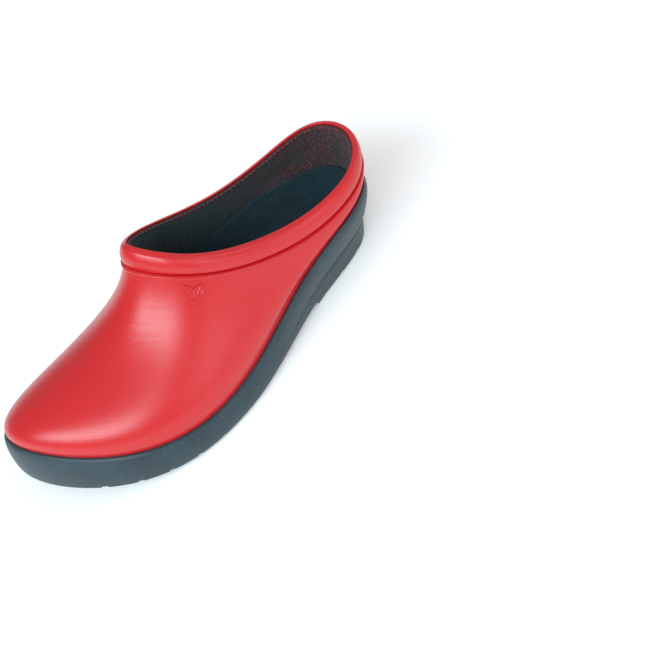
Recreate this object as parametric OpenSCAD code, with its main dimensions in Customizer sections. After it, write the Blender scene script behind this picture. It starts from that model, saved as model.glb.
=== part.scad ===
// Rubber garden clog, left shoe, in millimetres.
// +X points to the toe, +Y to the outer side of the foot and +Z up. The tread stands on z = 0.
// Each skin is a closed curve round the shoe through twelve stations:
// 0 back of the heel, 3 outer waist, 6 tip of the toe, 9 inner waist.

/* [Upper] */
// Thickness of the moulded upper
upper_wall = 3; // [2.5:0.25:3.25]
// Thickness of the knitted lining
lining_t = 1.2; // [0.8:0.1:1.4]
// Size of the rolled collar, as a factor
collar_size = 1; // [0.85:0.05:1.1]

/* [Outsole] */
// Width of the ledge where the upper meets the outsole
ledge_w = 1.4; // [1:0.1:2]
// Height of the waist above the ground
arch_h = 5; // [2:0.5:6]
// Distance from the back of the shoe to the heel breast
heel_l = 80; // [74:1:86]
// Radius of the rocker under the toe
rocker_r = 480; // [440:10:600]
// Depth of the tread grooves
tread_depth = 2; // [1:0.5:3]
// Width of the tread grooves
tread_w = 3; // [2:0.5:4]
// Distance from one tread groove to the next
tread_pitch = 17; // [14:1:20]

/* [Insole] */
// Thickness of the board under the insole
board_t = 2; // [1.5:0.25:2.5]
// Thickness of the fabric cover on the insole
cover_t = 0.8; // [0.6:0.1:1]
// Distance from the back of the shoe to the line where the insole bends up
bend_x = 158; // [150:1:165]

/* [Hidden] */

steps = 6;         // points between two stations
wall_steps = 10;   // rows between the feather line and the collar bead
glue_gap = 0.15;   // room between two layers that are glued or stitched together
loose_gap = 0.6;   // room round the loose insole
margin_up = 3.5;   // height of the end of the upper's margin above the bed
bend_gap = 0.3;    // room between the front and the rear half of the insole
toe_x = 160;       // where the rocker starts
groove_l = 160;    // length of a tread groove, longer than the sole is wide
stitch_w = 0.9;    // width of a row of stitches
stitch_from = 8;   // height where the lining's stitches start, in the collar's section
toe_grooves = 6;   // number of tread grooves in front of the waist
heel_taper = 5;    // how far the inside narrows down to the bed at the heel
far = 400;         // longer than the shoe

// Line where the upper meets the outsole, at each station
feather = [
    [3, 0, 39], [23, 29, 42], [78, 31, 35], [125, 44, 18], [178, 57, 14], [231, 44, 27],
    [273, -7, 44], [263, -45, 28], [211, -47, 14], [141, -38, 19], [72, -32, 35], [19, -31, 42]
];
// Line where the upper meets the bead under the collar
bead_line = [
    [0, 1, 58], [19, 31, 54], [57, 36, 51], [90, 34, 57], [122, 31, 71], [147, 21, 87],
    [162, -3, 93], [152, -23, 85], [129, -36, 73], [91, -34, 59], [49, -34, 55], [11, -29, 59]
];
// How the wall leaves the feather line: height and outward swell of its first guide
foot_rise = [8, 8, 8, 12, 16, 19, 20, 20, 15, 12, 8, 8];
foot_swell = [1, 1, 2, 3, 3, 3, 4, 2, 0, 2, 2, 1];
// How the wall arrives at the bead: outward distance and depth of its last guide
top_out = [0, 1, 2, 3, 8, 20, 30, 19, 5, 3, 2, 1];
top_down = [6, 6, 8, 13, 24, 34, 38, 35, 25, 13, 8, 6];
// Fullness halfway up the wall: outward and upward shift of its middle guide
mid_out = [1, 1, 1, 1, 1, 1, 1, -2, -2, 1, 1, 1];
mid_up = [0, 0, 0, -2, -3, -3, -1, -6, -5, -2, 0, 0];
// Height of the bed that the board lies on
bed = [21, 21, 19, 15, 8, 15, 27, 16, 8, 15, 19, 21];
// Height of the insole's edge, highest along the inner arch
insole_edge = [40, 38, 38, 31, 18, 21, 33, 22, 22, 51, 48, 43];
// Height of the insole's seat above the board
insole_seat = [5, 5, 6, 6, 4, 4, 4, 4, 4, 12, 9, 5];
// How much the sole's side swells out below its ledge, round the inner side of the toe
sole_swell = [0, 0, 0, 0, 0, 0.3, 1.2, 2.4, 1.5, 0, 0, 0];
// 1 where the sole has its heel block, 0 along the forefoot
heel_weight = [1, 1, 0.6, 0, 0, 0, 0, 0, 0, 0, 0.6, 1];
// How far the collar leans inward at its lip; it flares out a little at the back of the heel
collar_lean = [-1.5, 0, 3, 4.5, 4.5, 5, 5.5, 5.5, 5.5, 5.5, 4, 1];
// Height of the collar, as a factor; it is highest at the throat
collar_rise = [1, 1.09, 1.09, 1.09, 1.13, 1.13, 1.15, 1.1, 1, 1, 1, 1];
// How much thinner the lip gets towards its top, as a share; it is thinnest along the inner side
collar_thin = [0.3, 0.1, 0, 0, 0, 0, 0.1, 0.35, 0.5, 0.5, 0.5, 0.5];
// Room between the insole's edge and the lining, wide where the insole has to pass the collar
insole_clear = [0, 1, 3, 3, 1, 0, 0, 0, 1, 4, 4, 1.5];

// Sections as [outward, upward]: the bead, the groove and the roll of the collar, from the bead up
collar_outside = [
    [1.2, 0.3], [1.5, 0.8], [0.8, 1.3], [-0.8, 1.7], [0.5, 2.3], [1.4, 4], [1.9, 6.6], [1.6, 9.1],
    [0.6, 10.9], [-1.8, 11.6], [-2.9, 11.3], [-3.1, 10.6]
];
// The wall inside the collar, below the lip
collar_inside = [[-2.6, 9.9], [-2.6, 3]];
lip_up = 11;       // height of the lip above the bead, in this section
thin_from = 3;     // height at which the lip starts to get thinner
thin_full = 10;    // height from which it is thinnest
// Side of the outsole as [outward from the feather line, share of its height], from the ground up
side_fore = [
    [3, 0], [4.4, 0.1], [5, 0.3], [5.1, 0.47], [4.9, 0.55], [4.3, 0.7], [3.2, 0.88], [ledge_w, 1]
];
side_heel = [
    [-12, 0], [-11, 0.06], [-8, 0.3], [-7, 0.45], [-4.6, 0.51], [-1.6, 0.67], [1.4, 0.86], [ledge_w, 1]
];

UP = [0, 0, 1];
inner_face = upper_wall + glue_gap;
foot_face = inner_face + lining_t;

// ---- curves ----

// Point between stations i and i + 1 of a closed uniform cubic B-spline
function spline(p, i, t) =
    let (n = len(p), a = p[(i + n - 1) % n], b = p[i], c = p[(i + 1) % n], d = p[(i + 2) % n])
    (pow(1 - t, 3) * a + (3 * pow(t, 3) - 6 * t * t + 4) * b
        + (1 + 3 * t + 3 * t * t - 3 * pow(t, 3)) * c + pow(t, 3) * d) / 6;

function ring(p) = [for (i = [0 : len(p) - 1], k = [0 : steps - 1]) spline(p, i, k / steps)];

// Level direction that points out of a closed line at each of its points
function outward(p) =
    let (n = len(p))
    [for (i = [0 : n - 1])
        let (d = p[(i + 1) % n] - p[(i + n - 1) % n], o = [-d.y, d.x, 0])
        o / norm(o)];

function shifted(p, dir, out, up) = [for (i = [0 : len(p) - 1]) p[i] + out[i] * dir[i] + up[i] * UP];

function quartic(p, s) =
    pow(1 - s, 4) * p[0] + 4 * pow(1 - s, 3) * s * p[1] + 6 * pow(1 - s, 2) * s * s * p[2]
        + 4 * (1 - s) * pow(s, 3) * p[3] + pow(s, 4) * p[4];

// ---- the upper's outer surface ----

foot_guide = shifted(feather, outward(feather), foot_swell, foot_rise);
top_guide = shifted(bead_line, outward(bead_line), top_out, -top_down);
mid_guide = shifted((foot_guide + top_guide) / 2, outward(feather), mid_out, mid_up);
guides = [for (p = [feather, foot_guide, mid_guide, top_guide, bead_line]) ring(p)];
columns = len(guides[0]);
wall = [for (i = [0 : wall_steps])
    [for (j = [0 : columns - 1]) quartic([for (g = guides) g[j]], i / wall_steps)]];

foot_line = wall[0];
top_line = wall[wall_steps];
foot_out = outward(foot_line);
top_line_out = outward(top_line);
bed_z = ring(bed);
edge_z = ring(insole_edge);
seat_h = ring(insole_seat);
heel_share = ring(heel_weight);
swell = ring(sole_swell);
lean = ring(collar_lean);
rise = collar_size * ring(collar_rise);
thin = ring(collar_thin);
insole_room = ring(insole_clear);

// Direction that points out of the wall at row i, column j
function wall_out(i, j) =
    let (n = columns,
        along = wall[i][(j + 1) % n] - wall[i][(j + n - 1) % n],
        across = wall[min(i + 1, wall_steps)][j] - wall[max(i - 1, 0)][j],
        o = cross(across, along))
    i == 0 ? foot_out[j] : o / norm(o);

// Row i of the wall, moved inward
function wall_row(i, inset) = [for (j = [0 : columns - 1]) wall[i][j] - inset * wall_out(i, j)];

// A row below the feather line at its own height, which tapers in towards the bottom of the heel
function foot_row(inset, z) =
    [for (j = [0 : columns - 1])
        let (
            depth = (foot_line[j].z - z[j]) / (foot_line[j].z - bed_z[j]),
            p = foot_line[j] - (inset + heel_taper * heel_share[j] * depth) * foot_out[j]
        )
        [p.x, p.y, z[j]]];

// Outward position of a point of the collar's section in column j, where the lip gets thinner
function thinned(section, j) =
    let (share = max(0, min(1, (section[1] - thin_from) / (thin_full - thin_from))))
    section[0] < 0 ? section[0] * (1 - thin[j] * share) : section[0];

// A row round the collar at one point of its section
function collar_row(section, inset = 0) =
    [for (j = [0 : columns - 1])
        top_line[j] + (thinned(section, j) - lean[j] * section[1] / lip_up - inset) * top_line_out[j]
            + section[1] * rise[j] * UP];

// The inside of the upper, moved inward, from the collar's lip down to the feather line
function inner_rows(inset) = concat(
    [for (s = collar_inside) collar_row(s, inset - upper_wall)],
    [for (i = [wall_steps - 1 : -1 : 0]) wall_row(i, inset)]
);

// Point of one column at height z, on the inside of the upper moved inward
function at_height(rows, j, z) =
    let (
        above = [for (i = [len(rows) - 1 : -1 : 1]) if (rows[i - 1][j].z > z) i][0],
        low = rows[above][j],
        high = rows[above - 1][j],
        t = (z - low.z) / (high.z - low.z)
    )
    low + t * (high - low);

function lifted(p, dz) = [for (q = p) q + dz * UP];

// ---- solids ----

// Closed solid through a list of rings, from the outer bottom up and over. A ringed solid is
// a tube that closes on itself; any other has strips across its first and last ring. Each
// face is split along its shorter diagonal, so two solids that share a surface match.
module loft(rings, ringed = false) {
    n = len(rings[0]);
    m = len(rings);
    half = n / 2;
    sides = [for (i = [0 : ringed ? m - 1 : m - 2], j = [0 : n - 1])
        let (k = (j + 1) % n, u = (i + 1) % m,
            a = i * n + j, b = i * n + k, c = u * n + k, d = u * n + j)
        each norm(rings[i][j] - rings[u][k]) < norm(rings[i][k] - rings[u][j])
            ? [[a, b, c], [a, c, d]] : [[a, b, d], [b, c, d]]];
    strips = [for (k = [0 : half - 1]) each [
        if (k < half - 1) [k, k + 1, n - k - 1],
        if (k > 0) [k, n - k - 1, n - k]
    ]];
    top = (m - 1) * n;
    caps = ringed ? [] : concat(
        [for (s = strips) [s[2], s[1], s[0]]],
        [for (s = strips) [s[0] + top, s[1] + top, s[2] + top]]
    );
    polyhedron(points = [for (r = rings) each r], faces = concat(sides, caps), convexity = 10);
}

// Lower end of the upper's margin, which is bonded into the outsole
margin_foot = bed_z + [for (z = bed_z) margin_up];

// ---- outsole ----

side_rows = [for (k = [0 : len(side_fore) - 1])
    [for (j = [0 : columns - 1])
        let (
            s = side_fore[k] * (1 - heel_share[j]) + side_heel[k] * heel_share[j],
            p = foot_line[j] + (s[0] + swell[j] * (1 - pow(s[1], 3))) * foot_out[j]
        )
        [p.x, p.y, foot_line[j].z * s[1]]]];

outline = [for (r = concat(side_rows, wall, [for (s = collar_outside) collar_row(s)])) each r];
xs = [for (p = outline) p.x];
ys = [for (p = outline) p.y];
centre = [(max(xs) + min(xs)) / 2, (max(ys) + min(ys)) / 2, 0];

// Height of the tread above the ground
function rocker(x) = x < toe_x ? 0 : rocker_r - sqrt(pow(rocker_r, 2) - pow(x - toe_x, 2));

// Cuts a shape drawn on the side view right across the sole
module across_sole() {
    rotate([90, 0, 0]) linear_extrude(height = groove_l, center = true) children();
}

module waist_cut() {
    waist_l = toe_x - heel_l;
    across_sole() polygon(concat(
        [[heel_l, -1], [heel_l, arch_h]],
        [for (t = [0.1 : 0.1 : 1]) [heel_l + t * waist_l, arch_h * (1 - t * t)]],
        [[toe_x, -1]]
    ));
}

module toe_cut() {
    reach = 130;
    across_sole() polygon(concat(
        [[toe_x, -1]],
        [for (t = [0 : 0.1 : 1]) [toe_x + t * reach, rocker(toe_x + t * reach)]],
        [[toe_x + reach, -1]]
    ));
}

module groove(x) {
    slope = x < toe_x ? 0 : asin((x - toe_x) / rocker_r);
    translate([x, 0, rocker(x)]) rotate([0, -slope, 0])
        cube([tread_w, groove_l, 2 * tread_depth], center = true);
}

module outsole() {
    shelf = margin_foot - [for (z = bed_z) glue_gap];
    color([0.16, 0.2, 0.22]) translate(-centre) difference() {
        loft(concat(side_rows, [
            foot_row(-glue_gap, [for (p = foot_line) p.z]), foot_row(-glue_gap, shelf),
            foot_row(upper_wall, shelf), foot_row(upper_wall, bed_z)
        ]));
        waist_cut();
        toe_cut();
        for (x = [heel_l - tread_pitch / 2 : -tread_pitch : tread_pitch]) groove(x);
        for (i = [0 : toe_grooves - 1]) groove(toe_x + i * tread_pitch);
    }
}

// ---- upper and lining ----

module upper_shell() {
    rings = concat(
        [foot_row(0, margin_foot)],
        wall,
        [for (s = collar_outside) collar_row(s)],
        inner_rows(upper_wall),
        [foot_row(upper_wall, margin_foot)]
    );
    color([0.84, 0.2, 0.22]) translate(-centre) loft(rings, ringed = true);
}

// The lining stands on the board, inside the upper
lining_foot = bed_z + [for (z = bed_z) board_t + 3 * glue_gap];

module lining_sock() {
    outer = inner_rows(inner_face);
    inner = inner_rows(foot_face);
    rows = len(outer);
    rings = concat(
        [foot_row(inner_face, lining_foot)],
        [for (i = [rows - 1 : -1 : 0]) lifted(outer[i], i == 0 ? -glue_gap : 0)],
        [for (i = [0 : rows - 1]) lifted(inner[i], i == 0 ? -glue_gap : 0)],
        [foot_row(foot_face, lining_foot)]
    );
    color([0.14, 0.2, 0.2]) translate(-centre) loft(rings, ringed = true);
}

// Row of stitches along the top of the lining, on its foot side
module lining_edge_stitch() {
    face = foot_face + glue_gap - upper_wall;
    inside = collar_inside[0][0];
    ends = [stitch_from, stitch_from + 2 * stitch_w];
    low = [for (s = ends) collar_row([inside, s], face)];
    deep = [for (s = ends) collar_row([inside, s], face + stitch_w / 2)];
    color([0.7, 0.3, 0.32]) translate(-centre)
        loft([low[0], low[1], deep[1], deep[0]], ringed = true);
}

// ---- board ----

module lasting_board() {
    bottom = bed_z + [for (z = bed_z) glue_gap];
    top = bottom + [for (z = bed_z) board_t];
    color([0.5, 0.45, 0.38]) translate(-centre)
        loft([foot_row(inner_face, bottom), foot_row(inner_face, top)]);
}

// Ring of thread that joins the lining to the board
module board_stitch() {
    low = lining_foot;
    high = low + [for (z = low) stitch_w];
    face = foot_face + glue_gap;
    color([0.2, 0.22, 0.22]) translate(-centre) loft([
        foot_row(face, low), foot_row(face, high),
        foot_row(face + stitch_w, high), foot_row(face + stitch_w, low)
    ], ringed = true);
}

// ---- insole ----

seat_inset = 13;   // from the insole's edge to its flat middle
insole_side = foot_face + loose_gap;
insole_foot = lining_foot + [for (z = bed_z) glue_gap];
thread = stitch_w + 2 * glue_gap;
insole_wall = concat(inner_rows(insole_side), [foot_row(insole_side, insole_foot)]);

// Ring of the insole's side at a share of its height
function insole_row(share) = [for (j = [0 : columns - 1])
    let (low = insole_foot[j] + thread)
    at_height(insole_wall, j, low + share * (edge_z[j] - low)) - insole_room[j] * foot_out[j]];

// A closed line with its small bends evened out
function evened(p) =
    let (n = len(p))
    [for (i = [0 : n - 1])
        (p[(i + n - 2) % n] + 2 * p[(i + n - 1) % n] + 3 * p[i] + 2 * p[(i + 1) % n] + p[(i + 2) % n]) / 9];

insole_rim = evened(insole_row(1));
insole_middle = [for (j = [0 : columns - 1])
    let (p = insole_rim[j] - (seat_inset - insole_room[j]) * foot_out[j])
    [p.x, p.y, insole_foot[j] + seat_h[j]]];

// The lower edge is cut back to clear the stitches
module insole_foam() {
    sole_side = foot_row(insole_side + thread, insole_foot);
    loft([
        [for (j = [0 : columns - 1]) sole_side[j] - insole_room[j] * foot_out[j]],
        insole_row(0), insole_row(1 / 3), insole_row(2 / 3), insole_rim,
        insole_middle
    ]);
}

module insole_cover() {
    rim = lifted(insole_rim, glue_gap);
    middle = lifted(insole_middle, glue_gap);
    loft([middle, rim, lifted(rim, cover_t), lifted(middle, cover_t)]);
}

// Keeps the part of the insole in front of the bend, or behind it
module front_half() {
    intersection() {
        children();
        translate([bend_x + bend_gap / 2, -far / 2, -1]) cube([far, far, far]);
    }
}

module rear_half() {
    intersection() {
        children();
        translate([bend_x - bend_gap / 2 - far, -far / 2, -1]) cube([far, far, far]);
    }
}

module insole_foam_front() {
    color([0.22, 0.24, 0.26]) translate(-centre) front_half() insole_foam();
}

module insole_foam_rear() {
    color([0.22, 0.24, 0.26]) translate(-centre) rear_half() insole_foam();
}

module insole_cover_front() {
    color([0.12, 0.17, 0.2]) translate(-centre) front_half() insole_cover();
}

module insole_cover_rear() {
    color([0.12, 0.17, 0.2]) translate(-centre) rear_half() insole_cover();
}

upper_shell();
lining_sock();
lining_edge_stitch();
outsole();
lasting_board();
board_stitch();
insole_foam_front();
insole_cover_front();
insole_foam_rear();
insole_cover_rear();
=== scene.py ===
"""Rubber garden clog, left shoe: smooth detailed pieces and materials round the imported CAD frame.

Shapes are worked out in millimetres from the back of the heel, with +X to the toe, and are moved
and scaled into the frame when their meshes are made. Each skin is a closed curve round the shoe
through twelve stations: 0 back of the heel, 3 outer waist, 6 tip of the toe, 9 inner waist.
"""

import math

import bmesh
import bpy
import numpy as np
from mathutils import Matrix, Vector


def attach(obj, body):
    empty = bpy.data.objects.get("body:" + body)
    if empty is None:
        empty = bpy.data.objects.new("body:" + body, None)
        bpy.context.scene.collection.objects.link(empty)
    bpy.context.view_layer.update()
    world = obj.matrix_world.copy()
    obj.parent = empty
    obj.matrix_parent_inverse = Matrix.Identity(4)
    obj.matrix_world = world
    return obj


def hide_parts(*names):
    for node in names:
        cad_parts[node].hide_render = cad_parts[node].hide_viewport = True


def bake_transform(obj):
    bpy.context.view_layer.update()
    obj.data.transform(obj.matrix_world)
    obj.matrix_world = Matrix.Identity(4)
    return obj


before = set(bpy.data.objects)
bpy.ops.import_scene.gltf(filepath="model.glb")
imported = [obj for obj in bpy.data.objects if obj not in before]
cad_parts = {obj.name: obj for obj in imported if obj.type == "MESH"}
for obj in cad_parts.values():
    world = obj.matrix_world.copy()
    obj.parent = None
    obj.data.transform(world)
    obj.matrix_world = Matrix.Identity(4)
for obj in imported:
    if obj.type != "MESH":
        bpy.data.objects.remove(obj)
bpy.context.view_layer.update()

MM = 0.001
STEPS = 22                        # columns between two stations
NUDGE = 1e-3                      # small step of share or station, for slopes
UP = np.array([0.0, 0.0, 1.0])

# ---- the clog's outline, the same as in the CAD source, in millimetres ----

FEATHER = [(3, 0, 39), (23, 29, 42), (78, 31, 35), (125, 44, 18), (178, 57, 14), (231, 44, 27),
           (273, -7, 44), (263, -45, 28), (211, -47, 14), (141, -38, 19), (72, -32, 35), (19, -31, 42)]
BEAD_LINE = [(0, 1, 58), (19, 31, 54), (57, 36, 51), (90, 34, 57), (122, 31, 71), (147, 21, 87),
             (162, -3, 93), (152, -23, 85), (129, -36, 73), (91, -34, 59), (49, -34, 55), (11, -29, 59)]
FOOT_RISE = [8, 8, 8, 12, 16, 19, 20, 20, 15, 12, 8, 8]
FOOT_SWELL = [1, 1, 2, 3, 3, 3, 4, 2, 0, 2, 2, 1]
TOP_OUT = [0, 1, 2, 3, 8, 20, 30, 19, 5, 3, 2, 1]
TOP_DOWN = [6, 6, 8, 13, 24, 34, 38, 35, 25, 13, 8, 6]
MID_OUT = [1, 1, 1, 1, 1, 1, 1, -2, -2, 1, 1, 1]
MID_UP = [0, 0, 0, -2, -3, -3, -1, -6, -5, -2, 0, 0]
BED = [21, 21, 19, 15, 8, 15, 27, 16, 8, 15, 19, 21]
INSOLE_EDGE = [40, 38, 38, 31, 18, 21, 33, 22, 22, 51, 48, 43]
INSOLE_SEAT = [5, 5, 6, 6, 4, 4, 4, 4, 4, 12, 9, 5]
INSOLE_CLEAR = [0, 1, 3, 3, 1, 0, 0, 0, 1, 4, 4, 1.5]
SOLE_SWELL = [0, 0, 0, 0, 0, 0.3, 1.2, 2.4, 1.5, 0, 0, 0]
HEEL_WEIGHT = [1, 1, 0.6, 0, 0, 0, 0, 0, 0, 0, 0.6, 1]
COLLAR_LEAN = [-1.5, 0, 3, 4.5, 4.5, 5, 5.5, 5.5, 5.5, 5.5, 4, 1]
COLLAR_RISE = [1, 1.09, 1.09, 1.09, 1.13, 1.13, 1.15, 1.1, 1, 1, 1, 1]
LIP_THIN = [0.3, 0.1, 0, 0, 0, 0, 0.1, 0.35, 0.5, 0.5, 0.5, 0.5]
LIP_FROM, LIP_RUN = 3.0, 7.0      # height where the lip starts to get thinner, and over how much

# Collar section as [outward, upward] from the bead line: bead, groove, roll, upper corner and lip
COLLAR = [(0.0, 0.0), (0.95, 0.12), (1.5, 0.45), (1.5, 0.95), (0.8, 1.3), (-0.7, 1.5), (-1.1, 1.75),
          (-0.5, 2.0), (0.35, 2.3), (0.95, 3.0), (1.5, 4.3), (1.85, 5.9), (1.9, 7.4), (1.65, 8.9),
          (1.25, 10.0), (0.85, 10.7), (0.2, 11.1), (-0.8, 11.4), (-1.8, 11.6), (-2.6, 11.45),
          (-3.1, 10.9), (-3.1, 10.4), (-2.75, 9.95), (-2.6, 9.0), (-2.6, 6.0), (-2.6, 3.0)]
LIP_UP = 11
INSIDE, INSIDE_TOP = -2.6, 9.9    # the straight wall inside the collar, and its upper end
INSIDE_ROWS, INSIDE_STEP = 5, 1.8
STITCH_UP = 9.0                   # height of the lining's edge stitches, in the same section
# Side of the outsole as (outward from the feather line, share of its height), from the ground up
SIDE_FORE = [(2.6, -0.02), (4.2, 0.1), (4.9, 0.28), (5.1, 0.4), (5.1, 0.47), (4.9, 0.58), (4.3, 0.74),
             (3.3, 0.9), (2.3, 0.985), (1.5, 1.0)]
SIDE_HEEL = [(-12, -0.02), (-11, 0.08), (-8.6, 0.3), (-7.3, 0.4), (-7.6, 0.455), (-5.0, 0.50),
             (-1.4, 0.68), (1.3, 0.86), (1.7, 0.97), (1.1, 1.0)]
SOLE_EDGE = 1.6                   # radius of the outsole's bottom edge

UPPER_WALL, LINING_T, GLUE, LOOSE = 3.0, 1.2, 0.15, 0.6
MARGIN_UP, HEEL_TAPER, BOARD_T, STITCH_W, SEAT_INSET = 3.5, 5.0, 2.0, 0.9, 13.0
HEEL_L, ARCH_H, TOE_X, ROCKER_R = 80.0, 5.0, 160.0, 480.0
TREAD_PITCH, TREAD_W, TREAD_DEPTH = 17.0, 3.0, 2.0
HEEL_GROOVES, TOE_GROOVES = 4, 6
CUTTER_HALF = 80                  # half length of a cutter, longer than the sole is half wide
CUTTER_DROP = 3                   # how far a cutter reaches below the ground
CENTRE = (137.914, 2.768, 0)      # the frame's origin, from the back of the heel


# ---- curves ----

def weights(t):
    """Uniform cubic B-spline weights of four neighbouring stations."""
    return np.stack([(1 - t) ** 3, 3 * t ** 3 - 6 * t * t + 4,
                     1 + 3 * t + 3 * t * t - 3 * t ** 3, t ** 3], -1) / 6


def ring(points, steps=STEPS):
    """Closed curve, or closed run of numbers, through the stations."""
    p = np.asarray(points, float)
    near = np.stack([np.roll(p, 1, 0), p, np.roll(p, -1, 0), np.roll(p, -2, 0)])
    w = weights(np.arange(steps) / steps)
    return np.einsum("kw,wn...->nk...", w, near).reshape(len(p) * steps, *p.shape[1:])


def outward(p):
    """Level direction that points out of a closed line at each of its points."""
    d = np.roll(p, -1, 0) - np.roll(p, 1, 0)
    o = np.stack([-d[:, 1], d[:, 0], np.zeros(len(d))], 1)
    return o / np.linalg.norm(o, axis=1)[:, None]


def column(values):
    return np.asarray(values, float)[:, None]


def shifted(p, out, up):
    return p + column(out) * outward(p) + column(up) * UP


def catmull(points, steps):
    """Open smooth curve through the points."""
    p = np.asarray(points, float)
    p = np.vstack([2 * p[0] - p[1], p, 2 * p[-1] - p[-2]])
    t = column(np.arange(steps) / steps)
    runs = [0.5 * (2 * b + (c - a) * t + (2 * a - 5 * b + 4 * c - d) * t ** 2
                   + (3 * b - a - 3 * c + d) * t ** 3)
            for a, b, c, d in zip(p, p[1:], p[2:], p[3:])]
    return np.vstack(runs + [p[-2:-1]])


def smooth(t):
    t = np.clip(t, 0, 1)
    return t * t * (3 - 2 * t)


# ---- surfaces shared by the pieces ----

def station_guides():
    """The wall's five guide points at each station, from the feather line up to the bead line."""
    feather, bead = np.array(FEATHER, float), np.array(BEAD_LINE, float)
    foot = shifted(feather, FOOT_SWELL, FOOT_RISE)
    top = shifted(bead, TOP_OUT, [-v for v in TOP_DOWN])
    middle = (foot + top) / 2 + column(MID_OUT) * outward(feather) + column(MID_UP) * UP
    return feather, foot, middle, top, bead


def quartic(g, s):
    return ((1 - s) ** 4 * g[0] + 4 * (1 - s) ** 3 * s * g[1] + 6 * (1 - s) ** 2 * s * s * g[2]
            + 4 * (1 - s) * s ** 3 * g[3] + s ** 4 * g[4])


GUIDES = [ring(p) for p in station_guides()]


def wall(shares):
    """Rows of the upper's outer surface, at shares 0 (feather line) to 1 (bead line)."""
    return quartic(GUIDES, np.asarray(shares, float)[:, None, None])


def wall_normals(shares):
    s = np.asarray(shares, float)
    across = wall(s + NUDGE) - wall(s - NUDGE)
    mid = wall(s)
    along = np.roll(mid, -1, 1) - np.roll(mid, 1, 1)
    n = np.cross(across, along)
    return n / np.linalg.norm(n, axis=2)[..., None]


FOOT_LINE, TOP_LINE = GUIDES[0], GUIDES[4]
FOOT_OUT, TOP_LINE_OUT = outward(FOOT_LINE), outward(TOP_LINE)
COLUMNS = len(FOOT_LINE)
BED_Z, EDGE_Z, SEAT_H = ring(BED), ring(INSOLE_EDGE), ring(INSOLE_SEAT)
HEEL_SHARE, LEAN, RISE = ring(HEEL_WEIGHT), ring(COLLAR_LEAN), ring(COLLAR_RISE)
ROOM, THIN, SWELL = ring(INSOLE_CLEAR), ring(LIP_THIN), ring(SOLE_SWELL)


def foot_row(inset, z):
    """Row below the feather line at its own height, tapering in towards the bottom of the heel."""
    z = np.broadcast_to(z, (COLUMNS,))
    depth = (FOOT_LINE[:, 2] - z) / (FOOT_LINE[:, 2] - BED_Z)
    p = FOOT_LINE - column(inset + HEEL_TAPER * HEEL_SHARE * depth) * FOOT_OUT
    return np.column_stack([p[:, :2], z])


def collar_row(section, inset=0.0):
    """A row round the collar at one point of its section; the lip gets thinner along the inner side."""
    out, up = section
    if out < 0:
        out = out * (1 - THIN * np.clip((up - LIP_FROM) / LIP_RUN, 0, 1))
    return TOP_LINE + column(out - LEAN * up / LIP_UP - inset) * TOP_LINE_OUT + column(up * RISE) * UP


def inner_rows(inset, count=26):
    """The inside of the upper, moved inward, from under the lip down to the feather line."""
    shares = np.linspace(0.97, 0, count)
    body = wall(shares) - inset * wall_normals(shares)
    top = [collar_row((INSIDE, INSIDE_TOP - INSIDE_STEP * k), inset - UPPER_WALL)
           for k in range(INSIDE_ROWS)]
    return top + list(body)


def at_height(rows, z):
    """Ring of the points where each column of rows first reaches its own height z, from below."""
    rows = np.asarray(rows)[::-1]
    i = np.argmax(rows[:, :, 2] > z, axis=0)
    j = np.arange(rows.shape[1])
    high, low = rows[i, j], rows[i - 1, j]
    t = np.clip((z - low[:, 2]) / (high[:, 2] - low[:, 2]), 0, 1)
    return low + column(t) * (high - low)


def evened(line):
    """A closed line with its small bends evened out, over a third of a station each way."""
    reach = STEPS // 3
    share = [1 - abs(k) / (reach + 1) for k in range(-reach, reach + 1)]
    return sum(w * np.roll(line, k, 0) for k, w in zip(range(-reach, reach + 1), share)) / sum(share)


# ---- meshes ----

def placed(points):
    return (np.asarray(points, float).reshape(-1, 3) - CENTRE) * MM


def skin_faces(rows, columns, ringed):
    faces = []
    for i in range(rows if ringed else rows - 1):
        a, b = i * columns, ((i + 1) % rows) * columns
        faces += [(a + j, b + j, b + (j + 1) % columns, a + (j + 1) % columns) for j in range(columns)]
    return faces


def across_cap(row, count, z=None):
    """Points and a face list that fill a closed row with strips across the shoe.

    z(points) may give the fill its own height."""
    n, half = len(row), len(row) // 2
    pts, index = [], {}
    shares = np.linspace(0, 1, count + 1)[1:-1]
    for k in range(1, half):
        line = row[k] + np.outer(shares, row[n - k] - row[k])
        for m, p in enumerate(line):
            index[k, m + 1] = n + len(pts)
            pts.append(p)
        index[k, 0], index[k, count] = k, n - k
    faces = []
    for k in range(1, half - 1):
        for m in range(count):
            faces.append((index[k, m], index[k, m + 1], index[k + 1, m + 1], index[k + 1, m]))
    for m in range(count):
        faces.append((0, index[1, m + 1], index[1, m]))
        faces.append((half, index[half - 1, m], index[half - 1, m + 1]))
    pts = np.array(pts)
    if z is not None:
        pts[:, 2] = z(pts)
    return pts, faces


def renumbered(faces, row_start, extra_start):
    """A cap's faces, once its row starts at row_start in the mesh and its other points at extra_start."""
    return [tuple(row_start + i if i < COLUMNS else extra_start + i - COLUMNS for i in face)
            for face in faces]


def make(name, points, faces, material, coordinates=None):
    """A smooth-shaded object. coordinates, if given, are one (u, v) in metres for each point."""
    mesh = bpy.data.meshes.new(name)
    mesh.from_pydata(placed(points).tolist(), [], [tuple(int(v) for v in f) for f in faces])
    mesh.validate()
    obj = bpy.data.objects.new(name, mesh)
    bpy.context.scene.collection.objects.link(obj)
    fix_normals(mesh)
    mesh.shade_smooth()
    if coordinates is not None:
        layer = mesh.uv_layers.new(name="Surface")
        corner = np.zeros(len(mesh.loops), int)
        mesh.loops.foreach_get("vertex_index", corner)
        layer.data.foreach_set("uv", np.asarray(coordinates, np.float32)[corner].ravel())
    mesh.materials.append(material)
    return obj


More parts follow.
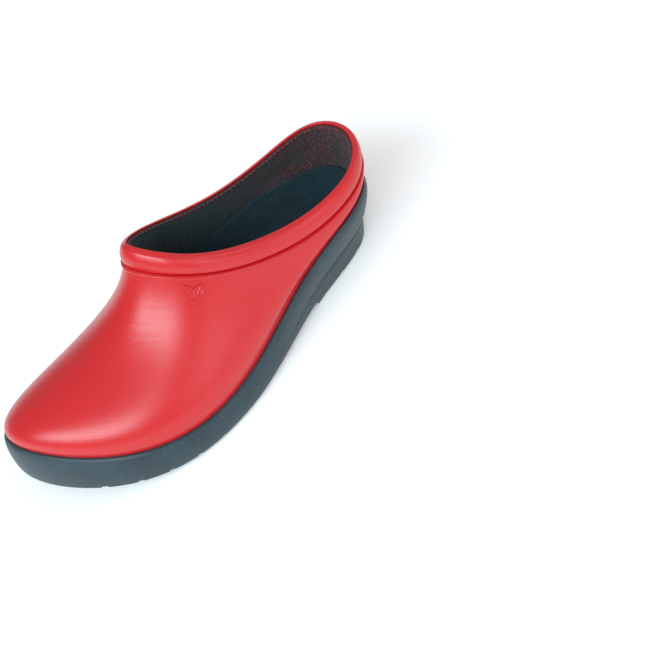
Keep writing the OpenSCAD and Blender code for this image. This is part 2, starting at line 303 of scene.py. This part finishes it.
def fix_normals(mesh):
    bm = bmesh.new()
    bm.from_mesh(mesh)
    bmesh.ops.recalc_face_normals(bm, faces=bm.faces)
    bm.to_mesh(mesh)
    bm.free()


def tube_of_rows(name, rows, material, coordinates=None):
    rows = np.asarray(rows)
    faces = skin_faces(len(rows), rows.shape[1], True)
    return make(name, rows, faces, material, coordinates)


# ---- materials ----

class Shader:
    """Short ways to build one node material."""

    def __init__(self, name, **principled):
        self.material = bpy.data.materials.new(name)
        self.material.use_nodes = True
        self.tree = self.material.node_tree
        self.surface = self.tree.nodes["Principled BSDF"]
        for key, value in principled.items():
            self.surface.inputs[key.replace("_", " ")].default_value = value

    def node(self, kind, inputs=None, **settings):
        made = self.tree.nodes.new("ShaderNode" + kind)
        for key, value in settings.items():
            setattr(made, key, value)
        for key, value in (inputs or {}).items():
            if isinstance(value, bpy.types.NodeSocket):
                self.tree.links.new(value, made.inputs[key])
            else:
                made.inputs[key].default_value = value
        return made

    def place(self):
        return self.node("TexCoord").outputs["Object"]

    def surface_place(self):
        return self.node("UVMap", uv_map="Surface").outputs["UV"]

    def noise(self, scale, detail=3.0, vector=None, roughness=0.5):
        inputs = {"Vector": vector or self.place(), "Scale": scale, "Detail": detail,
                  "Roughness": roughness}
        return self.node("TexNoise", inputs).outputs["Fac"]

    def remap(self, value, low, high, to_low=0.0, to_high=1.0):
        return self.node("MapRange", {0: value, 1: low, 2: high, 3: to_low, 4: to_high},
                         interpolation_type="SMOOTHSTEP").outputs[0]

    def math(self, kind, a, b=0.0):
        return self.node("Math", {0: a, 1: b}, operation=kind).outputs[0]

    def mix(self, share, a, b):
        return self.node("Mix", {0: share, 6: a, 7: b}, data_type="RGBA").outputs[2]

    def bump(self, height, distance, strength=1.0, normal=None):
        inputs = {"Height": height, "Distance": distance, "Strength": strength}
        if normal is not None:
            inputs["Normal"] = normal
        return self.node("Bump", inputs).outputs["Normal"]

    def connect(self, **links):
        for key, value in links.items():
            self.tree.links.new(value, self.surface.inputs[key.replace("_", " ")])
        return self.material


def colour(r, g, b):
    """Linear colour from the usual 0 to 255 screen values."""
    return tuple((v / 255) ** 2.2 for v in (r, g, b)) + (1.0,)


def upper_rubber():
    """Satin red rubber: faint clouds of tone and a very fine grain."""
    s = Shader("upper_rubber", Roughness=0.29, Specular_IOR_Level=0.6)
    clouds = s.noise(18, 3)
    grain = s.noise(1500, 2)
    tone = s.mix(clouds, colour(194, 17, 24), colour(203, 22, 28))
    tone = s.mix(s.remap(grain, 0.2, 0.8, 0, 0.2), tone, colour(222, 84, 90))
    rough = s.remap(clouds, 0.0, 1.0, 0.276, 0.3)
    normal = s.bump(grain, 0.00012, 0.7)
    return s.connect(Base_Color=tone, Roughness=rough, Normal=normal)


def sole_rubber():
    """Slate rubber with a pebbled grain, paler with dust where it meets the ground."""
    s = Shader("sole_rubber", Roughness=0.45, Specular_IOR_Level=0.45)
    clouds = s.noise(35, 4)
    grain = s.noise(1300, 3)
    height = s.node("SeparateXYZ", {0: s.place()}).outputs["Z"]
    tone = s.mix(s.remap(clouds, 0.3, 0.7), colour(40, 56, 63), colour(49, 67, 75))
    tone = s.mix(s.remap(grain, 0.55, 0.75, 0, 0.5), tone, colour(84, 102, 110))
    tone = s.mix(s.remap(height, 0.0, 0.004, 0.45, 0.0), tone, colour(96, 104, 106))
    rough = s.remap(clouds, 0.3, 0.7, 0.4, 0.5)
    return s.connect(Base_Color=tone, Roughness=rough, Normal=s.bump(grain, 0.00015, 0.5))


LOOP_W, LOOP_H = 0.0021, 0.0019     # a loop of the lining's knit, in metres


def lining_mesh():
    """Knitted mesh: staggered rows of small loops, with reddish threads towards the heel."""
    s = Shader("lining_mesh", Roughness=0.85, Specular_IOR_Level=0.25, Sheen_Weight=0.15)
    parts = s.node("SeparateXYZ", {0: s.surface_place()})
    across = s.math("MULTIPLY", parts.outputs["X"], 1 / LOOP_W)
    down = s.math("MULTIPLY", parts.outputs["Y"], 1 / LOOP_H)
    row = s.math("FLOOR", down)
    across = s.math("ADD", across, s.math("MULTIPLY", row, 0.5))
    in_x = s.math("SUBTRACT", s.math("FRACT", across), 0.5)
    in_y = s.math("SUBTRACT", s.math("FRACT", down), 0.5)
    squares = s.math("ADD", s.math("MULTIPLY", in_x, in_x), s.math("MULTIPLY", in_y, in_y))
    reach = s.math("SQRT", squares)
    dot = s.remap(reach, 0.45, 0.2)
    loop = s.node("CombineXYZ", {0: s.math("FLOOR", across), 1: row}).outputs[0]
    chance = s.node("TexWhiteNoise", {"Vector": loop}, noise_dimensions="2D").outputs["Value"]
    fibres = s.noise(2600, 2)
    heel = s.remap(s.node("SeparateXYZ", {0: s.place()}).outputs["X"], -0.03, -0.115)
    patches = s.remap(s.noise(60, 3), 0.35, 0.65)
    reddish = s.math("MULTIPLY", heel, s.remap(patches, 0, 1, 0.5, 1.0))
    ground = s.mix(reddish, colour(17, 36, 40), colour(58, 46, 49))
    thread = s.mix(reddish, colour(58, 90, 90), colour(88, 50, 54))
    thread = s.mix(s.math("MULTIPLY", chance, 0.4), thread, colour(22, 34, 37))
    picked = s.math("MULTIPLY", heel, s.remap(chance, 0.55, 1.0))
    bright = s.math("MULTIPLY", picked, 0.6)
    thread = s.mix(bright, thread, colour(142, 84, 88))
    tone = s.mix(dot, ground, thread)
    normal = s.bump(dot, 0.0005, 0.8)
    return s.connect(Base_Color=tone, Normal=s.bump(fibres, 0.0001, 0.5, normal))


def insole_fabric():
    """Brushed textile with a short nap."""
    s = Shader("insole_fabric", Roughness=0.92, Specular_IOR_Level=0.15, Sheen_Weight=0.35,
               Sheen_Roughness=0.45)
    s.surface.inputs["Sheen Tint"].default_value = (0.35, 0.5, 0.6, 1)
    nap = s.noise(1500, 3)
    brushed = s.noise(110, 4)
    tone = s.mix(s.remap(brushed, 0.2, 0.8), colour(31, 46, 53), colour(36, 52, 59))
    tone = s.mix(s.remap(nap, 0.5, 0.75, 0, 0.6), tone, colour(62, 82, 90))
    normal = s.bump(brushed, 0.0003, 0.3)
    return s.connect(Base_Color=tone, Normal=s.bump(nap, 0.0002, 0.7, normal))


def insole_foam():
    """Closed-cell foam."""
    s = Shader("insole_foam", Roughness=0.8, Specular_IOR_Level=0.3)
    cells = s.node("TexVoronoi", {"Vector": s.place(), "Scale": 900.0}).outputs["Distance"]
    tone = s.mix(s.remap(cells, 0.1, 0.6), colour(52, 56, 60), colour(72, 76, 80))
    tone = s.mix(s.remap(s.noise(45, 3), 0.4, 0.7, 0, 0.4), tone, colour(44, 48, 54))
    return s.connect(Base_Color=tone, Normal=s.bump(cells, 0.0002, 0.5))


def thread(name, dark, light):
    """Twisted thread: fine slanting plies."""
    s = Shader(name, Roughness=0.75, Specular_IOR_Level=0.3, Sheen_Weight=0.2)
    plies = s.node("TexWave", {"Vector": s.place(), "Scale": 700.0, "Distortion": 1.5},
                   bands_direction="DIAGONAL").outputs["Fac"]
    tone = s.mix(plies, dark, light)
    tone = s.mix(s.remap(s.noise(180, 2), 0.4, 0.7, 0, 0.4), tone, dark)
    return s.connect(Base_Color=tone, Normal=s.bump(plies, 0.0001, 0.6))


def fibre_board():
    """Pressed fibres that run along the shoe."""
    s = Shader("board", Roughness=0.9, Specular_IOR_Level=0.2)
    stretched = s.node("Mapping", {"Vector": s.place(), "Scale": (1, 5, 1)}).outputs[0]
    fibres = s.noise(420, 4, stretched, 0.7)
    tone = s.mix(s.remap(fibres, 0.3, 0.7), colour(140, 124, 100), colour(176, 160, 134))
    tone = s.mix(s.remap(s.noise(60, 3), 0.45, 0.7, 0, 0.5), tone, colour(120, 106, 86))
    return s.connect(Base_Color=tone, Normal=s.bump(fibres, 0.0001, 0.5))


def floor_paper():
    s = Shader("floor_paper", Roughness=0.8, Specular_IOR_Level=0.2)
    tone = s.mix(s.noise(3, 2), colour(248, 248, 249), colour(251, 251, 251))
    s.surface.inputs["Emission Color"].default_value = (1, 1, 1, 1)
    s.surface.inputs["Emission Strength"].default_value = 0.17
    return s.connect(Base_Color=tone)


# ---- pieces ----

RIPPLES, RIPPLE_H = 26, 0.13          # waves over the whole wall, and half their height
RIPPLE_STATION, RIPPLE_SHARE = (5.4, 0.55), (0.82, 0.06)    # middle and spread


def rippled(rows, shares):
    """Faint level ripples in the rubber under the bead at the throat."""
    station, wide = RIPPLE_STATION
    share, high = RIPPLE_SHARE
    throat = np.exp(-((np.arange(COLUMNS) / STEPS - station) / wide) ** 2)
    band = np.exp(-((shares - share) / high) ** 2)
    wave = np.cos(shares * 2 * math.pi * RIPPLES)
    return rows + (RIPPLE_H * np.outer(band * wave, throat))[..., None] * wall_normals(shares)


def build_upper(material):
    """The upper as one closed skin: margin, wall, bead, collar and the inside back down."""
    shares = np.linspace(0, 0.99, 64)
    outer = rippled(wall(shares), shares)
    collar = [collar_row(p) for p in catmull(COLLAR, 4)]
    inner = inner_rows(UPPER_WALL)[INSIDE_ROWS:]
    margin = BED_Z + MARGIN_UP
    rows = [foot_row(0, margin)] + list(outer) + collar + inner + [foot_row(UPPER_WALL, margin)]
    return tube_of_rows("upper", rows, material)


def distance_to(path, u, v):
    """Distance in the plane from the points (u, v) to a broken line."""
    best = np.full(u.shape, 1e9)
    for (x0, y0), (x1, y1) in zip(path, path[1:]):
        dx, dy = x1 - x0, y1 - y0
        t = np.clip(((u - x0) * dx + (v - y0) * dy) / (dx * dx + dy * dy), 0, 1)
        best = np.minimum(best, np.hypot(u - x0 - t * dx, v - y0 - t * dy))
    return best


LEAF_AT = (4.62, 0.925)             # station and share of the wall at the middle of the sprig
LEAF_SIZE = 16.0
LEAF_UP, LEAF_SUNK = 0.95, 0.12     # height of the relief, and how far its ground lies under the wall
LEAF_RIM, LEAF_DEEP = 0.9, 1.2      # depth of the piece's edge and of its back inside the wall
LEAF_BULGE = 0.27                   # half the width of a leaf
STEM_R, VEIN_R = 0.07, 0.06


def ridge(path, u, v, radius):
    """A rounded ridge along a broken line, 0 to 1."""
    return np.clip(1.4 - distance_to(path, u, v) / radius, 0, 1)


def leaf_height(u, v):
    """Relief of a plain two-leaf sprig, 0 to 1, in a square of side 2."""
    bend = np.linspace(0, math.pi, 12)
    stem = [(0.0, -0.8), (0.02, -0.45), (0.0, -0.25)]
    height = ridge(stem, u, v, STEM_R)
    foot = np.array([0.0, -0.25])
    for side in (-1, 1):
        axis = np.array([0.64 * side, 0.92])
        across = np.array([-axis[1], axis[0]])
        edges = [[foot + axis * b / math.pi + across * bulge * math.sin(b) for b in bend]
                 for bulge in (-LEAF_BULGE, LEAF_BULGE)]
        span = ((u - foot[0]) * axis[0] + (v - foot[1]) * axis[1]) / (axis @ axis)
        off = ((u - foot[0]) * across[0] + (v - foot[1]) * across[1]) / (across @ across)
        wide = LEAF_BULGE * np.sin(np.clip(span, 0, 1) * math.pi)
        inside = (span > 0) & (span < 1) & (abs(off) < wide)
        height = np.maximum(height, 0.55 * inside)
        for edge in edges + [[foot, foot + 0.8 * axis]]:
            height = np.maximum(height, ridge(edge, u, v, VEIN_R))
    return smooth(height)


def wall_point(station, share):
    """Points of the wall at any stations and shares."""
    def at(p):
        i = np.floor(station).astype(int) % len(p)
        w = weights(station - np.floor(station))
        near = [p[(i + k - 1) % len(p)] for k in range(4)]
        return sum(w[..., k, None] * near[k] for k in range(4))

    return quartic([at(p) for p in station_guides()], share[..., None])


def wall_rate(station, share):
    """Millimetres of wall per station and per share, near one point of the wall."""
    def gap(step_station, step_share):
        ends = [wall_point(np.array([station + k * step_station]), np.array([share + k * step_share]))
                for k in (-1, 1)]
        return np.linalg.norm(ends[1] - ends[0])
    return gap(0.05, 0) / 0.1, gap(0, 0.02) / 0.04


def slab_faces(count):
    """Faces of a closed slab from two square grids of points, its top and then its bottom."""
    faces, m = [], count * count
    for i in range(count - 1):
        for j in range(count - 1):
            a = i * count + j
            quad = (a, a + 1, a + count + 1, a + count)
            faces += [quad, tuple(m + q for q in reversed(quad))]
    side = range(count - 1)
    edge = ([j for j in side] + [i * count + count - 1 for i in side]
            + [m - 1 - j for j in side] + [(count - 1 - i) * count for i in side])
    faces += [(a, m + a, m + b, b) for a, b in zip(edge, edge[1:] + edge[:1])]
    return faces


def build_leaf(material, count=90):
    """A small raised sprig moulded into the side of the upper."""
    line = np.linspace(-1, 1, count)
    v, u = np.meshgrid(line, line, indexing="ij")
    along, up = wall_rate(*LEAF_AT)
    station = LEAF_AT[0] - u * LEAF_SIZE / 2 / along
    share = LEAF_AT[1] + v * LEAF_SIZE / 2 / up
    p = wall_point(station, share)
    n = np.cross(wall_point(station, share + NUDGE) - wall_point(station, share - NUDGE),
                 wall_point(station + NUDGE, share) - wall_point(station - NUDGE, share))
    n /= np.linalg.norm(n, axis=2)[..., None]
    at_rim = np.maximum(abs(u), abs(v)) > 0.999
    raised = np.where(at_rim, -LEAF_RIM, leaf_height(u, v) * LEAF_UP - LEAF_SUNK)
    top, bottom = p + raised[..., None] * n, p - LEAF_DEEP * n
    pts = np.vstack([top.reshape(-1, 3), bottom.reshape(-1, 3)])
    return make("leaf", pts, slab_faces(count), material)


def rocker(x):
    """Height of the tread above the ground, which curves up past TOE_X."""
    past = np.clip(x - TOE_X, 0, None)
    return ROCKER_R - np.sqrt(ROCKER_R ** 2 - past ** 2)


def sole_side_rows():
    """Side of the outsole, from its rounded bottom edge up to the ledge."""
    fore, heel = catmull(SIDE_FORE, 4), catmull(SIDE_HEEL, 4)
    profile = fore[:, None] * (1 - HEEL_SHARE[:, None]) + heel[:, None] * HEEL_SHARE[:, None]
    outs, shares = profile[..., 0], profile[..., 1]
    ground = rocker(FOOT_LINE[:, 0] + 3 * FOOT_OUT[:, 0])
    top = FOOT_LINE[:, 2]
    levels = 1 - np.cos(np.linspace(0, math.pi / 2, 40))
    rows = []
    for t in levels:
        z = ground + t * (top - ground)
        share = z / top
        out = np.array([np.interp(share[j], shares[:, j], outs[:, j]) for j in range(COLUMNS)])
        short = SOLE_EDGE - np.clip(z - ground, 0, SOLE_EDGE)
        rounding = SOLE_EDGE - np.sqrt(SOLE_EDGE ** 2 - short ** 2)
        out = out + SWELL * (1 - share ** 3) - rounding
        p = FOOT_LINE + column(out) * FOOT_OUT
        rows.append(np.column_stack([p[:, :2], z]))
    return rows


def prism(points):
    """Points and faces of a side-view polygon (x, z) drawn right across the shoe."""
    n = len(points)
    pts = [(x, y, z) for y in (-CUTTER_HALF, CUTTER_HALF) for x, z in points]
    faces = [tuple(range(n)), tuple(range(2 * n - 1, n - 1, -1))]
    faces += [(k, n + k, n + (k + 1) % n, (k + 1) % n) for k in range(n)]
    return pts, faces


def groove_box(x):
    """Tread groove square to the rocker, a little wider at its mouth."""
    slope = 0 if x < TOE_X else math.asin((x - TOE_X) / ROCKER_R)
    z0 = float(rocker(np.array(x)))
    half, mouth = TREAD_W / 2, TREAD_W / 2 + 0.3
    flat = [(-mouth, -CUTTER_DROP), (mouth, -CUTTER_DROP), (half, TREAD_DEPTH), (-half, TREAD_DEPTH)]
    c, s = math.cos(slope), math.sin(slope)
    return prism([(x + a * c - b * s, z0 + a * s + b * c) for a, b in flat])


def waist_arch():
    """Arch under the waist: a soft heel breast, then a slow curve down to the forefoot."""
    breast = [(-1, -CUTTER_DROP), (0, ARCH_H - 1.2), (0.5, ARCH_H - 0.3), (1.5, ARCH_H)]
    slope = [(HEEL_L + t * (TOE_X - HEEL_L), ARCH_H * (1 - t * t)) for t in np.linspace(0.05, 0.995, 16)]
    return prism([(HEEL_L + x, z) for x, z in breast] + slope + [(TOE_X, -CUTTER_DROP)])


def tread_cutters():
    heel = [HEEL_L - TREAD_PITCH / 2 - TREAD_PITCH * k for k in range(HEEL_GROOVES)]
    toe = [TOE_X + TREAD_PITCH * k for k in range(TOE_GROOVES)]
    return [waist_arch()] + [groove_box(x) for x in heel + toe]


def build_outsole(material, spare):
    """The moulded cup with its side, tread grooves and arch. The cutters carry the spare material."""
    margin = BED_Z + MARGIN_UP - GLUE
    cup = [foot_row(-GLUE, FOOT_LINE[:, 2]), foot_row(-GLUE, (FOOT_LINE[:, 2] + margin) / 2),
           foot_row(-GLUE, margin), foot_row(UPPER_WALL, margin), foot_row(UPPER_WALL, BED_Z)]
    rows = np.array(sole_side_rows() + cup)
    pts = rows.reshape(-1, 3)
    low, low_faces = across_cap(rows[0], 12, lambda p: rocker(p[:, 0]))
    high, high_faces = across_cap(rows[-1], 12)
    faces = skin_faces(len(rows), COLUMNS, False)
    faces += renumbered(low_faces, 0, len(pts))
    faces += renumbered(high_faces, len(pts) - COLUMNS, len(pts) + len(low))
    sole = make("outsole_moulding", np.vstack([pts, low, high]), faces, material)
    for k, (points, sides) in enumerate(tread_cutters()):
        cut(sole, make(f"cutter_{k}", points, sides, spare))
    sole.data.shade_smooth()
    sole.data.set_sharp_from_angle(angle=math.radians(35))
    return sole


def cut(target, cutter):
    """Takes cutter out of target, then deletes cutter."""
    modifier = target.modifiers.new("cut", "BOOLEAN")
    modifier.operation, modifier.solver, modifier.object = "DIFFERENCE", "EXACT", cutter
    graph = bpy.context.evaluated_depsgraph_get()
    mesh = bpy.data.meshes.new_from_object(target.evaluated_get(graph))
    target.modifiers.clear()
    target.data = mesh
    bpy.data.objects.remove(cutter)


def surface_coordinates(rows):
    """(u, v) for each point of a stack of rows: metres round the shoe, and metres down the rows."""
    rows = np.asarray(rows)
    mean = rows[len(rows) // 4]
    step = np.linalg.norm(np.roll(mean, -1, 0) - mean, axis=1)
    along = np.concatenate([[0], np.cumsum(step)[:-1]])
    down = np.linalg.norm(np.diff(rows, axis=0), axis=2)
    down = np.vstack([np.zeros(COLUMNS), np.cumsum(down, 0)])
    return np.stack([np.broadcast_to(along, down.shape), down], -1).reshape(-1, 2) * MM


def build_lining(material):
    """The knitted lining, bonded inside the upper from under the lip down to the board."""
    inner_face = UPPER_WALL + GLUE
    foot_face = inner_face + LINING_T
    board_top = BED_Z + BOARD_T + 3 * GLUE
    inner = inner_rows(foot_face)
    outer = inner_rows(inner_face)
    lip = [0.5 * (inner[0] + outer[0]) + 0.25 * UP]
    inner[0], outer[0] = inner[0] - 0.2 * UP, outer[0] - 0.2 * UP
    foot = [foot_row(foot_face, board_top), foot_row(inner_face, board_top)]
    rows = lip + inner + foot + outer[::-1]
    return tube_of_rows("lining", rows, material, coordinates=surface_coordinates(rows))


def stitch(path, radius, sides=8):
    """Points and faces of one plump stitch along a short path."""
    path = np.asarray(path, float)
    n = len(path)
    along = np.gradient(path, axis=0)
    along /= np.linalg.norm(along, axis=1)[:, None]
    side = np.cross(along, UP)
    side /= np.linalg.norm(side, axis=1)[:, None]
    third = np.cross(side, along)
    swell = np.sqrt(np.clip(1 - np.linspace(-1, 1, n) ** 4, 0.02, 1))
    angle = np.arange(sides) * 2 * math.pi / sides
    pts = [path[i] + radius * swell[i] * (math.cos(a) * side[i] + math.sin(a) * third[i])
           for i in range(n) for a in angle]
    faces = []
    for i in range(n - 1):
        for k in range(sides):
            a, b = i * sides + k, i * sides + (k + 1) % sides
            faces.append((a, b, b + sides, a + sides))
    faces += [tuple(range(sides))[::-1], tuple((n - 1) * sides + k for k in range(sides))]
    return np.array(pts), faces


def along_ring(line, length, gap):
    """Short evenly spaced paths round a closed line."""
    step = np.linalg.norm(np.roll(line, -1, 0) - line, axis=1)
    run = np.concatenate([[0], np.cumsum(step)])
    closed = np.vstack([line, line[:1]])
    count = int(run[-1] // (length + gap))
    pitch = run[-1] / count
    for k in range(count):
        at = (k * pitch + np.linspace(0, pitch - gap, 7)) % run[-1]
        yield np.column_stack([np.interp(at, run, closed[:, c]) for c in range(3)])


STITCH_L, STITCH_GAP, STITCH_R, STITCH_SUNK = 2.6, 0.6, 0.45, 0.2


def build_edge_stitches(material):
    """A ring of single stitches round the lining, under the lip of the collar."""
    face = UPPER_WALL + 2 * GLUE + LINING_T
    line = collar_row((INSIDE, STITCH_UP), face - UPPER_WALL + STITCH_SUNK)
    pts, faces, start = [], [], 0
    for path in along_ring(line, STITCH_L, STITCH_GAP):
        p, f = stitch(path, STITCH_R)
        pts.append(p)
        faces += [tuple(start + i for i in corners) for corners in f]
        start += len(p)
    return make("lining_edge_stitches", np.vstack(pts), faces, material)


INSOLE_SIDE = UPPER_WALL + GLUE + LINING_T + LOOSE
THREAD = STITCH_W + 2 * GLUE
INSOLE_FOOT = BED_Z + BOARD_T + 4 * GLUE
SEAT_INSET_MIN = 6


def insole_row(share):
    """A row up the insole's side, from share 0 above its foot to share 1 at its rim."""
    rows = inner_rows(INSOLE_SIDE) + [foot_row(INSOLE_SIDE, INSOLE_FOOT)]
    low = INSOLE_FOOT + THREAD
    return at_height(rows, low + share * (EDGE_Z - low)) - column(ROOM) * FOOT_OUT


def bed_row(rim, inset, lift=0.0):
    """Row of the footbed's top, inset from the rim, which dips smoothly to its flat middle."""
    t = inset / SEAT_INSET
    seat = INSOLE_FOOT + SEAT_H
    z = seat + (EDGE_Z - seat) * (1 - t) ** 1.7
    p = rim - column(np.maximum(SEAT_INSET - ROOM, SEAT_INSET_MIN) * t) * FOOT_OUT
    return np.column_stack([p[:, :2], z + lift])


def closed_pad(name, rows, material, across=16):
    """Closed solid through rows, with smooth caps across its first and last row."""
    rows = np.array(rows)
    pts = rows.reshape(-1, 3)
    low, low_faces = across_cap(rows[0], across)
    high, high_faces = across_cap(rows[-1], across)
    faces = skin_faces(len(rows), COLUMNS, False)
    faces += renumbered(low_faces, 0, len(pts))
    faces += renumbered(high_faces, len(pts) - COLUMNS, len(pts) + len(low))
    return make(name, np.vstack([pts, low, high]), faces, material)


def build_insole_foam(material):
    """The moulded foam body, from its flat foot up to the rim and down into the footbed."""
    rim = evened(insole_row(1))
    sole = foot_row(INSOLE_SIDE + THREAD, INSOLE_FOOT) - column(ROOM) * FOOT_OUT
    rows = [sole] + [insole_row(s) for s in np.linspace(0, 0.96, 8)]
    rows += [rim - 0.5 * FOOT_OUT - 0.1 * UP]
    rows += [bed_row(rim, i, -0.3) for i in np.linspace(1.2, SEAT_INSET, 10)]
    return closed_pad("insole_foam", rows, material)


def build_insole_cover(material):
    """The fabric over the foam, with a rounded edge at the rim."""
    rim = evened(insole_row(1))
    under = [bed_row(rim, i, 0.15 if i > 1 else 0.1) for i in np.linspace(SEAT_INSET, 1.2, 10)]
    edge = [rim - 0.25 * FOOT_OUT + 0.1 * UP, rim + 0.05 * FOOT_OUT + 0.45 * UP,
            rim - 0.2 * FOOT_OUT + 0.85 * UP, rim - 0.7 * FOOT_OUT + 0.95 * UP]
    over = [bed_row(rim, i, 0.9) for i in np.linspace(1.4, SEAT_INSET, 14)]
    return closed_pad("insole_cover", under + edge + over, material)


# ---- stage ----

CAMERA_AT = (0.1121, 0.5230, 0.5408)
CAMERA_FORWARD = (-0.2185, -0.6494, -0.7284)
CAMERA_UP = (-0.6507, -0.4593, 0.6047)
CAMERA_LENS, SENSOR = 69.56, 36.0
FLOOR_HALF, FLOOR_DOWN = 4.0, 0.0003
AIM = Vector((0, 0, 0.05))          # the point that the lights face


def build_camera():
    data = bpy.data.cameras.new("camera")
    data.lens, data.sensor_width = CAMERA_LENS, SENSOR
    data.clip_start, data.clip_end = 0.01, 20.0
    camera = bpy.data.objects.new("camera", data)
    forward, up = Vector(CAMERA_FORWARD).normalized(), Vector(CAMERA_UP)
    right = forward.cross(up).normalized()
    up = right.cross(forward)
    turn = Matrix((right, up, -forward)).transposed().to_4x4()
    camera.matrix_world = Matrix.Translation(CAMERA_AT) @ turn
    bpy.context.scene.collection.objects.link(camera)
    bpy.context.scene.camera = camera


def build_floor():
    h = FLOOR_HALF
    mesh = bpy.data.meshes.new("floor")
    mesh.from_pydata([(-h, -h, 0), (h, -h, 0), (h, h, 0), (-h, h, 0)], [], [(0, 1, 2, 3)])
    floor = bpy.data.objects.new("floor", mesh)
    mesh.materials.append(floor_paper())
    bpy.context.scene.collection.objects.link(floor)
    floor.location.z = -FLOOR_DOWN


def softbox(name, azimuth, elevation, distance, size, power, tint=(1, 1, 1)):
    """Area light that faces the clog. Azimuth 0 is in front of the toe and 90 on its outer side."""
    a, e = math.radians(azimuth), math.radians(elevation)
    at = AIM + distance * Vector((math.cos(a) * math.cos(e), math.sin(a) * math.cos(e), math.sin(e)))
    data = bpy.data.lights.new(name, "AREA")
    data.shape, data.size, data.size_y = "RECTANGLE", size[0], size[1]
    data.energy, data.color = power, tint
    light = bpy.data.objects.new(name, data)
    light.location = at
    light.rotation_euler = (AIM - at).to_track_quat("-Z", "Y").to_euler()
    bpy.context.scene.collection.objects.link(light)


def build_world():
    """Even white light from all round, dimmer from the inner side of the toe."""
    world = bpy.data.worlds.new("studio")
    world.use_nodes = True
    tree = world.node_tree
    background = tree.nodes["Background"]
    background.inputs["Strength"].default_value = 0.52
    direction = tree.nodes.new("ShaderNodeTexCoord").outputs["Generated"]
    towards = tree.nodes.new("ShaderNodeVectorMath")
    towards.operation = "DOT_PRODUCT"
    towards.inputs[1].default_value = (0.5, -0.86, -0.1)
    dimmer = tree.nodes.new("ShaderNodeMapRange")
    for socket, value in zip(dimmer.inputs[1:5], (0.25, 0.9, 1.0, 0.55)):
        socket.default_value = value
    tree.links.new(direction, towards.inputs[0])
    tree.links.new(towards.outputs["Value"], dimmer.inputs[0])
    tree.links.new(dimmer.outputs[0], background.inputs["Color"])
    bpy.context.scene.world = world


def build_lights():
    softbox("key", 32, 42, 2.6, (2.6, 1.1), 60, (0.84, 1.0, 1.05))
    softbox("fill", 104, 22, 2.6, (0.6, 1.1), 5)
    softbox("rim", 160, 32, 2.6, (1.2, 0.8), 9)


# ---- the scene ----

bpy.context.scene.view_settings.view_transform = "Standard"
build_camera()
build_floor()
build_world()
build_lights()

rubber = upper_rubber()
upper = build_upper(rubber)
leaf = build_leaf(rubber)
outsole = build_outsole(sole_rubber(), rubber)
lining = build_lining(lining_mesh())
edge_stitches = build_edge_stitches(thread("edge_thread", colour(80, 30, 34), colour(142, 62, 66)))
foam = build_insole_foam(insole_foam())
cover = build_insole_cover(insole_fabric())

fixed = [(upper, "upper_shell", "upper_rubber"), (outsole, "outsole", "sole_rubber"),
         (lining, "lining_sock", "lining_mesh"),
         (edge_stitches, "lining_edge_stitch", "edge_thread")]
for piece, node, slot in fixed:
    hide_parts(node)
    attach(piece, "clog")
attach(leaf, "clog")

for piece, name, slot in ((foam, "insole_foam", "insole_foam"),
                          (cover, "insole_cover", "insole_fabric")):
    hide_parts(name + "_front", name + "_rear")
    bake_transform(piece)

board_thread = thread("board_thread", colour(38, 42, 42), colour(66, 70, 70))
for node, material in (("lasting_board", fibre_board()), ("board_stitch", board_thread)):
    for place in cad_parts[node].material_slots:
        place.material = material
